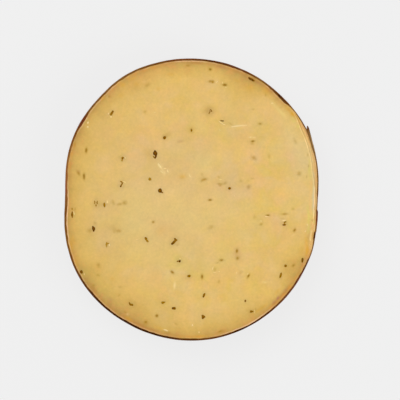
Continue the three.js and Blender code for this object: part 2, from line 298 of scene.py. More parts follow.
# Torn lips and crumbs of cheese standing up from the cut: x, y, length, width, direction, bend, how pale.
LIPS = [
    (17.71, 27.52, 7.0, .56, 5, .02, 1.0), (11.50, 28.62, 3.2, .48, 150, .06, 1.0), (-11.80, 12.60, 2.5, .92, 127, .08, 1.0), (34.68, -7.88, 1.7, .50, 7, 0, 1.0), (-31.48, -.84, 1.4, .52, 93, 0, 1.0),
    (-30.69, -16.95, 1.0, .55, 90, 0, 1.0), (-38.68, 28.82, 1.0, .75, 51, 0, .8), (-9.60, -48.89, 1.8, .62, 163, 0, .8), (-30.02, 30.96, .95, .60, 59, 0, .95), (-8.85, 10.75, 1.35, .62, 112, .1, 1.0),
    (.43, -47.01, .95, .55, 90, 0, .9), (-25.04, 6.60, 1.35, .48, 149, 0, .9), (-.50, 8.95, 1.6, .54, 121, .2, .75), (28.20, -6.33, 1.35, .45, 0, 0, 1.0), (-43.89, -5.06, 1.9, .50, 98, 0, .3),
    (-31.07, 32.16, .9, .48, 90, 0, .75), (30.28, 36.04, 1.05, .48, 0, 0, .85), (-9.85, 11.67, 1.15, .52, 0, 0, .9), (21.97, 23.36, 1.4, .52, 175, 0, .75), (23.62, 23.29, 1.2, .40, 0, 0, .6),
    (-38.74, 27.22, .9, .65, 135, 0, .7), (43.48, -9.35, 1.1, .70, 92, 0, .7), (10.88, 7.54, 1.2, .40, 0, 0, .65), (8.01, -25.65, 1.5, .52, 73, 0, .75), (9.60, 44.09, 1.1, .42, 45, 0, .7),
    (27.27, -30.91, 1.6, .45, 178, 0, .4), (23.68, -42.00, 1.2, .45, 90, 0, .25), (-20.39, -14.96, 1.0, .45, 0, 0, .6), (-24.81, 15.68, .9, .55, 135, 0, .6), (-4.24, -22.08, .95, .45, 0, 0, .6),
    (-11.10, 10.45, 1.8, .50, 140, .15, .75), (2.88, -49.66, .9, .70, 43, 0, .5), (8.71, -27.33, 1.2, .42, 0, 0, .55), (-40.07, -27.88, .9, .45, 90, 0, .2), (10.34, -26.96, .95, .42, 0, 0, .55),
    (11.68, 43.73, .95, .42, 90, 0, .55), (16.93, -27.49, .95, .42, 90, 0, .5), (-13.65, 32.67, .95, .42, 0, 0, .5), (26.11, -8.02, .85, .60, 134, 0, .45), (21.10, -27.85, .95, .50, 60, 0, .6), (44.68, 14.27, 1.3, .40, 90, 0, .45),
    (16.18, 1.35, .95, .42, 90, 0, .45), (10.69, 26.03, .9, .50, 138, 0, .4), (42.68, -11.83, .9, .55, 45, 0, .5), (12.98, 42.04, .95, .40, 0, 0, .4), (36.61, 25.92, .95, .40, 0, 0, .4),
]
# Deep yellow and red-brown stains: x, y, length, width, direction, strength.
AMBER = [
    (38.0, 32.0, 1.6, 1.3, 130, 1.0), (43.7, -20.0, 2.8, 1.5, 82, 1.1), (43.4, -18.0, 4.4, 1.2, 95, .7), (42.9, -15.2, 4.5, .9, 94, .25), (41.6, -19.2, 4.0, 2.4, 86, .25), (40.3, 29.5, 3.4, .9, 124, .62), (45.4, -9.9, 2.6, .8, 88, .3), (.0, 26.0, 2.4, 2.2, 0, .3),
    (28.0, 40.5, 3.6, 2.0, 140, .5), (22.0, 42.0, 3.2, 2.4, 0, .35), (-25.6, 42.9, 1.6, 1.2, 30, .6),
    (-22.0, 45.3, 2.6, .8, 30, .5), (-12.4, 41.4, 1.4, 1.2, 0, .4), (-44.2, -15.0, 1.2, 3.2, 12, .35),
    (-42.6, -21.6, 1.0, 2.4, 20, .25), (-23.4, -44.6, 2.6, 1.0, 152, .6), (-11.6, -48.2, 3.6, .9, 165, .4),
    (-29.6, -29.6, 1.4, 1.2, 0, .3), (36.2, 33.9, 3.0, .9, -50, .5), (42.8, 27.6, 2.6, .6, -64, .5),
    (-33.2, 37.9, 1.6, 1.2, 40, .6), (-27.2, 43.6, 2.2, 1.2, 35, .5), (-7.6, 46.9, 2.2, .9, 0, .35), (-20.6, 43.2, 1.8, 1.4, 0, .35),
    (-45.0, -17.6, 1.2, 4.0, 8, .55), (-43.0, -24.0, 1.0, 3.4, 18, .35), (3.6, -51.2, 7.0, .9, 4, .45), (26.0, -40.8, 5.0, .8, 34, .5), (32.0, -34.6, 2.4, .8, 50, .3),
    (-3.4, 8.6, 2.2, 1.5, 0, .55), (-11.7, -11.8, 3.2, 2.4, 45, .22), (-26.4, 39.0, 1.8, 1.4, 0, .25), (17.0, 44.5, 2.2, 1.2, 160, .3), (-36.4, -38.2, 1.0, 2.6, 40, .2), (-31.0, -41.6, 2.2, 1.2, 130, .35),
]
# Fine lines that follow the worn margin: from, to (degrees round from +x), how far inside
# the outline at each end, half width in mm, what they are, and strength.
MARGIN_LINES = [
    (43, 37, .95, 1.25, .30, "amber", .2), (37, 31, 1.45, 1.60, .20, "amber", .25), (32, 24, 1.30, 1.50, .20, "peach", .9), (36.5, 31, 1.60, 1.45, .20, "peach", .5), (34.0, 27.5, 1.10, 1.02, .24, "brown", .75), (36, 34, .80, .80, .24, "brown", .35), (34.2, 32.0, .75, .70, .22, "brown", .5),
    (13, -7, 1.95, 1.50, .34, "milk", .50), (6, -4, 1.75, 1.55, .45, "milk", .30), (21, 5, 1.20, 1.15, .30, "brown", .75), (-7.5, -12.5, .90, .95, .34, "amber", .50), (-8, -12.5, 1.35, 1.35, .28, "brown", .6), (-11.5, -18, .70, .62, .24, "amber", .45),
    (9, -9, 2.05, 2.0, .22, "green", .6), (9, -7, 2.9, 2.7, .50, "peach", .8), (19, 13, 2.9, 3.1, .3, "green", .7), (-9.2, -11.2, 1.3, 1.3, .26, "green", .9),
    (-11.5, -14, 1.0, 1.1, .15, "pale", .8), (-14.4, -19, 2.0, 1.68, .22, "pale", .8), (-18.5, -22.6, 1.15, .75, .28, "pale", .35),
    (-2.5, -16.2, 3.75, 3.05, .36, "green", .9), (39.5, 36.5, 2.6, 2.6, .45, "green", .6), (35, 33.4, 2.3, 2.3, .4, "green", .7), (50.8, 40.6, 4.4, 4.4, .42, "pale", .28), (50.8, 41, 4.3, 4.3, .6, "green", .5), (-10, -15, 2.0, 2.0, .5, "peach", .5), (-20, -27, 3.0, 2.6, .5, "peach", .3), (-12, -15.5, 1.45, 1.50, .20, "brown", .3), (9.5, 4.5, 1.9, 1.75, .22, "green", .8), (15, 9.5, 3.3, 3.2, .45, "green", .6),
]
# Broad drifts: the pale heart of the loaf that the smoke never reached, and duller olive areas.
HEART = [(-11, 2, 74, 70, 10, 1.0), (-14, 8, 36, 30, 0, .2)]
DULL = [(-12, -9, 44, 24, 5, .9), (-20, -6, 16, 20, 0, .3), (42.5, 12, 36, 12, 95, 1.0), (37.5, 27, 18, 9, 125, .9), (14, -3, 16, 11, 0, .5), (5, 15, 20, 9, 0, .35), (9, -22, 14, 10, 0, .4)]
# Slow drifts of the paste: x, y, length, width, direction, what changes, and how strongly either way.
DRIFTS = [
    (31, 35, 10, 8, 135, "bright", .7), (-34, 26, 20, 14, 70, "bright", -.6), (-4, 47, 12, 9, 155, "bright", .7), (42, 3, 18, 11, 75, "bright", .5),
    (-5, 15, 26, 22, 25, "bright", -.5), (-30, -14, 42, 14, 95, "bright", -.4), (-11, -44, 14, 10, 60, "bright", -.5), (17, 8, 16, 10, 15, "bright", -.5),
    (5, 12, 10, 9, 100, "rosy", -1.2), (-8, -24, 20, 9, 170, "rosy", -1.3), (-11, -10, 15, 8, 145, "rosy", 1.4), (-17, 45, 20, 6, 25, "rosy", 1.1),
    (-17, 27, 30, 12, 40, "rosy", .9), (34, 4, 13, 8, 155, "golden", 1.2), (30, 34, 12, 10, 175, "golden", -1.2), (39, 16, 24, 20, 115, "golden", -1.0),
    (14, 5, 19, 8, 25, "golden", -1.0), (20, -18, 13, 7, 40, "golden", -1.0), (12, -33, 20, 9, 45, "golden", .8),
    (40, -28.5, 13, 5, 55, "rosy", -1.5), (40, -28.5, 13, 5, 55, "bright", .3), (-35, -32, 20, 6, 132, "rosy", -1.2), (-35.5, -31, 20, 7, 132, "bright", .35),
]
RUDDY = [
    (41.9, 27.5, 3.0, .8, 125, .60), (43.05, 24.8, 3.4, .75, 114, .60), (44.7, 19.2, 4.6, .6, 106, .22), (45.4, -9.7, 2.8, .9, 88, .22), (47.0, -1.6, 3.2, .9, 90, .25), (31.8, 38.4, 8.0, 1.6, 140, .10), (30.0, 41.1, 2.4, 1.0, 142, .3), (36.6, 33.4, 1.2, .9, 125, .15), (43.2, -22.0, 2.4, 1.2, 70, .55), (46.3, 9.6, 5.5, .8, 97, .18),
    (44.1, -13.3, 7.0, 1.2, 88, .22), (-4.1, 21.8, 2.2, .9, 8, .34),
    (32.4, -36.9, 1.2, .85, 50, 1.2), (30.9, -38.2, 1.3, 1.0, 40, .45), (17.2, -20.2, 3.0, 4.4, 0, .17), (6.6, 33.3, 3.0, 2.6, 20, .20), (35.0, -33.8, 1.0, .8, 50, .4), (41.9, -24.0, 1.8, .8, 60, .45), (-42.2, 10.4, 1.4, 1.1, 120, .4),
    (-18.6, 48.6, 2.6, 1.0, 15, .3), (-10.6, 50.8, 3.0, 1.0, 10, .35), (12.4, 49.3, 4.0, 1.0, 168, .35), (-41.0, 30.0, 1.6, .9, 60, .35), (-35.6, 38.4, 2.0, 1.2, 50, .3),
    (-36.6, -33.6, 2.4, 1.2, 118, .25), (-30.5, -37.5, 2.4, 1.6, 130, .25), (24.5, 44.0, 3.4, .7, 150, .4), (-44.8, 20.0, 2.0, .8, 80, .3),
]


def blots(x, y, table, softness=1.0):
    """Sum of soft oval spots over the points."""
    out = np.zeros_like(x)
    for bx, by, length, width, deg, strength in table:
        a, b = length / 2 * softness, width / 2 * softness
        near = (np.abs(x - bx) < 3 * max(a, b)) & (np.abs(y - by) < 3 * max(a, b))
        if not near.any():
            continue
        c, s = math.cos(math.radians(deg)), math.sin(math.radians(deg))
        dx, dy = x[near] - bx, y[near] - by
        u, v = (dx * c + dy * s) / a, (-dx * s + dy * c) / b
        out[near] += strength * np.exp(-1.1 * (u * u + v * v) ** 1.1)
    return out


# ---- meshes ----------------------------------------------------------------
def new_object(name, verts_mm, faces, attributes=None, smooth_shade=True):
    mesh = bpy.data.meshes.new(name)
    mesh.from_pydata((np.asarray(verts_mm, float) * MM).tolist(), [], faces)
    mesh.validate()
    for key, values in (attributes or {}).items():
        attribute = mesh.attributes.new(key, "FLOAT", "POINT")
        attribute.data.foreach_set("value", np.asarray(values, np.float32))
    mesh.polygons.foreach_set("use_smooth", [smooth_shade] * len(mesh.polygons))
    mesh.update()
    obj = bpy.data.objects.new(name, mesh)
    bpy.context.scene.collection.objects.link(obj)
    return obj


def disc_grid(n):
    """A square grid of n by n points drawn into the unit disc: radius, angle, quads and the rim's points in order."""
    k = np.linspace(-1, 1, n)
    u, v = np.meshgrid(k, k, indexing="xy")
    u, v = u.ravel(), v.ravel()
    wide = np.abs(u) >= np.abs(v)
    with np.errstate(divide="ignore", invalid="ignore"):
        phi = np.where(wide, np.pi / 4 * v / u, np.pi / 2 - np.pi / 4 * u / v)
    radius = np.where(wide, u, v)
    phi = np.where((u == 0) & (v == 0), 0.0, phi)
    phi = np.where(radius < 0, phi + np.pi, phi)
    radius = np.abs(radius)
    idx = np.arange(n * n).reshape(n, n)      # idx[row of v, column of u]
    quads = np.stack([idx[:-1, :-1], idx[:-1, 1:], idx[1:, 1:], idx[1:, :-1]], -1).reshape(-1, 4)
    rim = np.concatenate([idx[:, -1][:-1], idx[-1, :][::-1][:-1], idx[:, 0][::-1][:-1], idx[0, :][:-1]])
    return radius, phi, quads, rim


KNIFE = math.radians(-14)            # direction of the knife's stroke


def face_relief(x, y, rim_distance):
    """Slow unevenness of a knife-cut cheese face, in mm."""
    z = 0.030 * plane_noise(x, y, 21, 26) + 0.012 * plane_noise(x, y, 22, 7, stretch=3.0, direction=KNIFE)
    z += 0.006 * plane_noise(x, y, 23, 2.2, stretch=5.0, direction=KNIFE)
    return z * smooth(rim_distance, 0.0, 3.0)


def smoke_depth(theta, inside):
    """How far smoke has coloured the cheese: inside is the distance from the outline in mm."""
    strength = round_table(theta, SMOKE) + 0.10 * round_noise(theta, 31, 6, 30) + 0.05 * round_noise(theta, 32, 40, 90)
    reach = 1 + 0.25 * round_noise(theta, 33, 3, 14)
    return strength * (0.46 * np.exp(-inside / (1.5 * reach)) + 0.40 * np.exp(-inside / (5.2 * reach)) + 0.14 * np.exp(-inside / 17.0))


def margin_lines(theta, inside):
    """Strength of each kind of fine line along the worn margin."""
    deg = signed(np.degrees(theta))
    out = {key: np.zeros_like(deg) for key in ("pale", "amber", "brown", "peach", "green", "milk")}
    for start, end, first, last, half, kind, strength in MARGIN_LINES:
        t = (start - deg) / (start - end)
        ends = smooth(t, -0.08, 0.12) * (1 - smooth(t, 0.88, 1.08))
        centre = first + (last - first) * np.clip(t, 0, 1) + 0.06 * round_noise(theta, 35, 20, 60)
        out[kind] += strength * ends * bump(inside, centre, half)
    return out


def build_cheese():
    radius, phi, quads, rim = disc_grid(AROUND_GRID)
    edge = outline(phi)
    inset = crest_inset(phi)
    flat = edge - inset
    r = radius * (1.32 - 0.32 * radius) * flat
    x, y = r * np.cos(phi), r * np.sin(phi)
    inside = edge - r
    z = THICK - 0.05 + face_relief(x, y, inside - inset)
    sx, sy = x + SHIFT_X, y + SHIFT_Y
    grown = lambda rows, by: [(a, b, c + by, d + by, e, t) for a, b, c, d, e, t, *_ in rows]
    pits = blots(sx, sy, grown(SEEDS, 0.25))
    covered = pits + blots(sx, sy, grown(HONEY, 0.1), 1.25)
    ring = np.clip(blots(sx, sy, grown(SEEDS, 1.1)) - 1.2 * covered, 0, 1)
    z += 0.03 * ring - 0.05 * np.clip(pits, 0, 1)
    pale = blots(sx, sy, PALE)
    # The crest where the cut face breaks onto the worn slope: a slight rise, and a painted highlight in the pale
    # colour.
    crest = worn(phi) * bump(inside - inset, 0.15, 0.22)
    z += 0.05 * np.clip(pale, 0, 1) + 0.02 * crest
    lines = margin_lines(phi, inside)
    face = {
        "x": x, "y": y, "z": z, "inside": inside, "theta": phi,
        "sunk": blots(sx, sy, SUNK, 1.25),
        "honey": blots(sx, sy, HONEY, 1.15),
        "pale": pale + lines["pale"] + 0.08 * crest + 0.05 * ring,
        "amber": blots(sx, sy, AMBER, 1.3) + lines["amber"],
        "ruddy": blots(sx, sy, RUDDY, 1.25),
        "tan": worn(phi) * bump(inside, 0.9, 0.5) * 0.7 + lines["brown"],
        "peach": lines["peach"],
        "green": lines["green"],
        "milk": lines["milk"],
    }
    verts = [np.stack([face["x"], face["y"], face["z"]], -1)]
    attr = {k: [face[k]] for k in ("inside", "theta", "sunk", "honey", "pale", "amber", "ruddy", "tan", "peach", "green", "milk")}
    faces = quads.tolist()
    count = len(face["x"])

    # Down the slope or under the rind, down its back, and onto the lower face.
    theta = phi[rim]
    edge, inset, w = outline(theta), crest_inset(theta), worn(theta)
    tuck = edge - (0.45 + 0.45 * w) * rind_width(theta)
    top_z = face["z"][rim]
    under = rind_top(theta) - 0.10
    slope = []
    for t in (0.12, 0.3, 0.5, 0.7, 0.88, 1.0):
        rr = (edge - inset) * (1 - t) + tuck * t
        worn_z = top_z + (rind_top(theta) + 0.02 - top_z) * (0.35 * t + 0.65 * t * t)
        worn_z = worn_z + 0.05 * np.sin(math.pi * t) * round_noise(theta + 0.3 * t, 41, 30, 120)
        plain_z = top_z + (under - top_z) * smooth(t, 0.0, 1.0)
        slope.append((rr, plain_z * (1 - w) + worn_z * w))
    rings = slope + [(tuck, rind_top(theta) - 0.5 - 0.2 * w)]
    for t in (0.35, 0.7):
        rings.append((tuck, (THICK - 2.0) * (1 - t) + 0.6 * t))
    rings.append((tuck, 0.45 + 0 * theta))
    rings.append((edge - rind_width(theta), 0.06 + 0 * theta))
    rings.append((edge - rind_width(theta) - 0.5, 0.0 + 0 * theta))
    previous = rim
    for rr, zz in rings:
        xx, yy = rr * np.cos(theta), rr * np.sin(theta)
        verts.append(np.stack([xx, yy, zz + 0 * xx], -1))
        attr["inside"].append(edge - rr)
        attr["theta"].append(theta)
        lines = margin_lines(theta, edge - rr)
        for key, table in (("sunk", SUNK), ("honey", HONEY), ("amber", AMBER), ("ruddy", RUDDY)):
            attr[key].append(blots(xx + SHIFT_X, yy + SHIFT_Y, table, 1.2) + (lines["amber"] if key == "amber" else 0))
        # Painted highlight along the crest of the worn slope, in the pale colour.
        attr["pale"].append(worn(theta) * bump(edge - rr - inset, 0.0, 0.25) * 0.12 + lines["pale"])
        attr["tan"].append(worn(theta) * smooth(edge - rr, 0.2, 0.5) * (1 - smooth(edge - rr, 1.15, 1.6)) * 0.8 + lines["brown"])
        attr["peach"].append(lines["peach"])
        attr["green"].append(lines["green"])
        attr["milk"].append(lines["milk"])
        ring = count + np.arange(len(theta))
        count += len(theta)
        a, b = previous, np.roll(previous, -1)
        c, d = np.roll(ring, -1), ring
        faces += np.stack([a, d, c, b], -1).tolist()
        previous = ring

    # Lower cut face: the rim's points are gathered in steps, then a coarser grid.
    n_low = (COLUMNS // 4) // 4 + 1
    low_radius, low_phi, low_quads, low_rim = disc_grid(n_low)
    low_edge = outline(low_phi)
    low_flat = low_edge - rind_width(low_phi) - 2.0
    lx, ly = low_radius * low_flat * np.cos(low_phi), low_radius * low_flat * np.sin(low_phi)
    half = previous[::2]
    t2 = theta[::2]
    mid = outline(t2) - rind_width(t2) - 1.1
    verts.append(np.stack([mid * np.cos(t2), mid * np.sin(t2), 0 * t2], -1))
    attr["inside"].append(outline(t2) - mid)
    attr["theta"].append(t2)
    for key in ("sunk", "honey", "pale", "amber", "ruddy", "tan", "peach", "green", "milk"):
        attr[key].append(0 * t2)
    ring2 = count + np.arange(len(t2))
    count += len(t2)
    m = len(previous)
    for i in range(len(t2)):
        a, b, c = previous[2 * i], previous[(2 * i + 1) % m], previous[(2 * i + 2) % m]
        p, q = ring2[i], ring2[(i + 1) % len(t2)]
        faces += [(a, p, b), (b, p, q), (b, q, c)]
    base = count
    verts.append(np.stack([lx, ly, 0 * lx], -1))
    attr["inside"].append(low_edge - low_radius * low_flat)
    attr["theta"].append(low_phi)
    for key in ("sunk", "honey", "pale", "amber", "ruddy", "tan", "peach", "green", "milk"):
        attr[key].append(0 * lx)
    count += len(lx)
    low_rim = base + low_rim
    m = len(ring2)
    for i in range(len(low_rim)):
        a, b, c = ring2[2 * i], ring2[(2 * i + 1) % m], ring2[(2 * i + 2) % m]
        p, q = low_rim[i], low_rim[(i + 1) % len(low_rim)]
        faces += [(a, p, b), (b, p, q), (b, q, c)]
    faces += (base + low_quads[:, ::-1]).tolist()

    v = np.concatenate(verts)
    v[:, 0] += SHIFT_X
    v[:, 1] += SHIFT_Y
    values = {k: np.concatenate([np.asarray(p, float) + 0.0 for p in parts]) for k, parts in attr.items()}
    lower = v[:, 2] < 0.5
    rng = np.random.default_rng(77)
    under_sunk = [(rng.uniform(-40, 40), rng.uniform(-44, 44), rng.uniform(1, 2.6), rng.uniform(.8, 1.4), rng.uniform(0, 180), rng.uniform(.15, .3)) for _ in range(45)]
    values["sunk"] = np.where(lower, blots(v[:, 0], v[:, 1], under_sunk, 1.3), values["sunk"])
    under_honey = [(rng.uniform(-40, 40), rng.uniform(-44, 44), rng.uniform(.9, 2.2), rng.uniform(.7, 1.1), rng.uniform(0, 180), rng.uniform(.35, .8)) for _ in range(30)]
    values["honey"] = np.where(lower, blots(v[:, 0], v[:, 1], under_honey, 1.3), values["honey"])
    smoke = smoke_depth(values["theta"], values["inside"])
    degrees = signed(np.degrees(values["theta"]))
    ledge = [np.interp(degrees, [k[0] for k in LEDGE], [k[i] for k in LEDGE]) for i in (1, 2, 3)]
    ledge[1] = ledge[1] * np.clip(1 + 0.35 * round_noise(values["theta"], 36, 30, 120), 0, 1.5)
    # The oil of a cut seed dulls the paste for about a millimetre round it.
    oiled = np.clip(blots(v[:, 0], v[:, 1], [(a, b, c + 2.3, d + 2.3, e, 0.55 * t) for a, b, c, d, e, t, *_ in SEEDS]), 0, 0.62)
    drifted = lambda kind: np.clip(blots(v[:, 0], v[:, 1], [row[:5] + row[6:] for row in DRIFTS if row[5] == kind]), -2, 2)
    return new_object("cheese_body", v, faces, {
        "smoke": np.clip(smoke, 0, 1.3),
        "sunk": np.clip(values["sunk"], 0, 1),
        "honey": np.clip(values["honey"], 0, 1.9),
        "pale": np.clip(values["pale"], 0, 1),
        "amber": np.clip(values["amber"], 0, 1.2),
        "ledge": np.clip(values["inside"] - ledge[0] + 0.04 * round_noise(values["theta"], 37, 20, 80), -2, 2),
        # Painted highlight along the lip of the worn margin's step.
        "ledge_highlight": np.where(lower, 0, ledge[1]),
        "ledge_line": np.where(lower, 0, ledge[2]),
        "glow": np.clip(round_table(values["theta"], GLOW) * np.clip(1 + 0.5 * round_noise(values["theta"], 38, 25, 110), 0, 2), 0, 1.5),
        "ruddy": np.clip(values["ruddy"], 0, 1),
        "tan": np.clip(values["tan"], 0, 1.2),
        "peach": np.clip(values["peach"], 0, 1),
        "green": np.clip(values["green"], 0, 1),
        "milk": np.clip(values["milk"], 0, 1),
        "near": np.clip(round_table(values["theta"], NEAR) * bump(values["inside"], 1.55, 0.48) * (1 + 0.35 * round_noise(values["theta"], 39, 16, 80)), 0, 1),
        "inner": np.clip(values["inside"] - rind_width(values["theta"]), -0.5, 6.0),
        "lip": np.where(lower, 0.3, round_table(values["theta"], LIP) + 0.12 * round_noise(values["theta"], 34, 20, 90)),
        "bright": np.where(lower, 0, drifted("bright") - oiled),
        "rosy": np.where(lower, 0, drifted("rosy")),
        "golden": np.where(lower, 0, drifted("golden")),
        "heart": np.clip(blots(v[:, 0], v[:, 1], HEART), 0, 1.2),
        "dull": np.clip(blots(v[:, 0], v[:, 1], DULL), 0, 1),
    })


def build_rind():
    """The smoked skin: a thin closed band with wrinkles, creases and seeds pressed up under it."""
    theta = np.radians(-45 + np.arange(COLUMNS) * 360 / COLUMNS)
    deg = signed(np.degrees(theta))
    edge, width, top = outline(theta), rind_width(theta), rind_top(theta)
    arc = theta * 50.0                                   # mm along the wall
    dark = round_table(theta, RIND_DARK) + 0.06 * round_noise(theta, 51, 40, 160)
    red = round_table(theta, RIND_RED)
    rows = []          # radius, z, cut (1 on the knife-cut edge)
    steps = 26
    rng = np.random.default_rng(5)
    under = [(rng.uniform(-math.pi, math.pi), rng.uniform(2.5, THICK - 2.5), rng.uniform(1.3, 2.4), rng.uniform(.5, .7), rng.uniform(0, math.pi), rng.uniform(.08, .17)) for _ in range(46)]
    for i in range(steps + 1):
        t = i / steps
        z = 0.12 + (top - 0.10 - 0.12) * t
        hollow = 0.12 * np.sin(math.pi * t) ** 2 * (1 + np.sin(3 * theta + 0.6) + 0.6 * np.sin(7 * theta + 2.1)) / 2
        fold = 0.05 * np.sin(math.pi * np.clip(t * 1.02, 0, 1)) ** 0.5
        wrinkle = 0.8 * fold * wall_noise(arc, z, 61, 3.0, 1.0, 4.0) + 0.45 * fold * wall_noise(arc, z, 62, 1.5, 1.2)
        crease = -0.10 * np.clip(wall_noise(arc, z, 63, 12, 1.0, 2.6) - 1.05, 0, 1) * np.sin(math.pi * t)
        seeds_up = np.zeros_like(theta)
        for st, sz, sl, sw, sa, sh in under:
            du = (theta - st + math.pi) % (2 * math.pi) - math.pi
            du, dz = du * 50.0, z - sz
            c, s = math.cos(sa), math.sin(sa)
            u, v = (du * c + dz * s) / (sl / 2), (-du * s + dz * c) / (sw / 2)
            seeds_up += sh * np.exp(-(u * u + v * v))
        r = edge - np.clip(hollow - wrinkle - crease - seeds_up, -0.05, 1) - 0.04
        if i == 0:
            r = r - 0.22
        rows.append((r, z, 0.0))
    outer_top = rows[-1][0]
    rows.append((outer_top - 0.02, top - 0.02, 1.0))
    rows.append((edge - 0.30 * width - 0.03, top + 0.015, 1.0))
    rows.append((edge - 0.62 * width, top + 0.012, 1.0))
    rows.append((edge - 0.92 * width, top - 0.004, 1.0))
    rows.append((edge - width - 0.02, top - 0.06, 1.0))
    for t in (0.5, 1.0):
        rows.append((edge - width, (top - 0.4) * (1 - t) + 0.3 * t, 0.0))
    rows.append((edge - width, 0.02 + 0 * theta, 1.0))
    rows.append((edge - 0.45 * width, 0.0 + 0 * theta, 1.0))
    # Both sides of the cut edge are a little lighter than its middle.
    fade = {steps + 1: 0.24, steps + 4: 0.12, steps + 5: 0.30}
    verts, attrs = [], {"cut": [], "dark": [], "red": [], "shadow_grey": [], "height": []}
    # Painted shadow: the cut edge is greyed round 23.5 degrees, where the torn tongue of rind shades it.
    shadow_grey = 0.75 * bump(signed(np.degrees(theta)), 23.5, 4.0)
    for i, (r, z, cut) in enumerate(rows):
        z = z + 0 * theta
        verts.append(np.stack([r * np.cos(theta) + SHIFT_X, r * np.sin(theta) + SHIFT_Y, z], -1))
        attrs["cut"].append(cut + 0 * theta)
        attrs["dark"].append(dark - fade.get(i, 0.0))
        attrs["red"].append(red)
        attrs["shadow_grey"].append(shadow_grey)
        attrs["height"].append(z / THICK)
    n, m = len(rows), len(theta)
    idx = np.arange(n * m).reshape(n, m)
    a, b = idx, np.roll(idx, -1, axis=1)
    faces = np.stack([a, b, np.roll(b, -1, axis=0), np.roll(a, -1, axis=0)], -1).reshape(-1, 4).tolist()
    return new_object("rind", np.concatenate(verts), faces, {k: np.clip(np.concatenate(p), 0, 1.2) for k, p in attrs.items()})


# The torn end of the rind, by degrees round from +x: how far its outside stands out from
# the loaf, how thick it is, and how far its top stands above the worn rind.
TONGUE = [
    (32.30, .90, .08, .30), (32.0, .96, .34, .45), (31.6, 1.06, .56, .55), (31.2, 1.08, .90, .62), (30.8, 1.04, 1.04, .68), (30.0, .91, .96, .72),
    (29.0, .74, .86, .74), (28.0, .60, .86, .74), (27.0, .47, .86, .72), (26.0, .34, .88, .66), (25.0, .27, .92, .60), (24.0, .23, .90, .52),
    (22.5, .19, .68, .38), (21.0, .16, .58, .22), (19.5, .12, .46, .08), (18.0, .04, .34, -.04),
]


def build_tongue():
    """The torn end of the rind: a sliver that has sprung away from the wall and tapers to a point."""
    keys = np.array(TONGUE)[::-1]
    along, loop = 60, 16
    verts, cut, dark, red, shadow_grey, height = [], [], [], [], [], []
    for i in range(along + 1):
        s = i / along
        deg = TONGUE[0][0] + (TONGUE[-1][0] - TONGUE[0][0]) * (0.6 * s + 0.4 * s * s)
        th = np.array([math.radians(deg)])
        out, thick, lift = (float(np.interp(deg, keys[:, 0], keys[:, k])) for k in (1, 2, 3))
        outer = float(plain_outline(th)[0]) + out
        top = float(rind_top(th)[0]) + lift + 0.03 * math.sin(23 * s) + 0.02 * math.sin(51 * s)
        depth = 0.3 + 4.8 * float(smooth(s, 0.0, 0.35)) * (1 - 0.6 * float(smooth(s, 0.6, 1.0)))
        for j in range(loop):
            a = 2 * math.pi * j / loop
            u = math.copysign(abs(math.cos(a)) ** 0.7, math.cos(a))
            v = math.copysign(abs(math.sin(a)) ** 0.7, math.sin(a))
            zz = top - depth / 2 + depth / 2 * v - 0.05 * thick * u * u
            rr = outer - thick / 2 + thick / 2 * u - 0.12 * (1 - v) * out
            verts.append((rr * math.cos(th[0]) + SHIFT_X, rr * math.sin(th[0]) + SHIFT_Y, zz))
            tip = 1 - float(smooth(s, 0.10, 0.26))
            side = float(np.interp(deg, [22, 25, 27, 29, 31], [.04, .0, .20, .54, .95] if u > 0 else [.30, .56, .36, .08, .60]))
            cut.append(0.95 if v > 0.7 else 0.10)
            dark.append(min(1.0, 0.7 * side + 0.3 * side * abs(u) + 0.10 * tip + 0.10 * max(0.0, tip - abs(u))))
            red.append(0.35 * tip * (0.4 if u > 0 else 1.0) + 0.02)
            # Painted shadow: the tongue's top away from its tip takes the same shadow grey.
            shadow_grey.append(0.75 * (1 - tip) * (v > 0.7))
            height.append(zz / THICK)
    faces = []
    for i in range(along):
        for j in range(loop):
            k = (j + 1) % loop
            p, q = i * loop, (i + 1) * loop
            faces.append((p + j, q + j, q + k, p + k))
    faces.append(tuple(range(loop)))
    faces.append(tuple(along * loop + j for j in reversed(range(loop))))
    return new_object("rind_tongue", verts, faces, {"cut": cut, "dark": dark, "red": red, "shadow_grey": shadow_grey, "height": height})


def wall_noise(arc, z, seed, wavelength, stretch, tall=1.0):
    """Smooth noise over the unrolled wall, drawn out along or up it, closing where the ends of the wall meet."""
    rng = np.random.default_rng(seed)
    theta = arc / 50.0
    out = np.zeros_like(arc)
    for _ in range(14):
        a = rng.uniform(0, 2 * math.pi)
        w = wavelength * rng.uniform(0.7, 1.5)
        turns = round(2 * math.pi * 50.0 / w * math.cos(a) / stretch)
        out += np.sin(turns * theta + 2 * math.pi * z / (w * tall) * math.sin(a) + rng.uniform(0, 2 * math.pi))
    return out / math.sqrt(14)


def cut_outline(form, a):
    """Radius of a seed's cut in its own direction a, for a seed one unit long and wide."""
    power = {"oval": 2.1, "box": 3.6, "diamond": 1.35, "tri": 2.2}[form]
    r = (np.abs(np.cos(a)) ** power + np.abs(np.sin(a)) ** power) ** (-1 / power)
    if form == "tri":
        r = r * (1 + 0.20 * np.cos(3 * a))
    return r


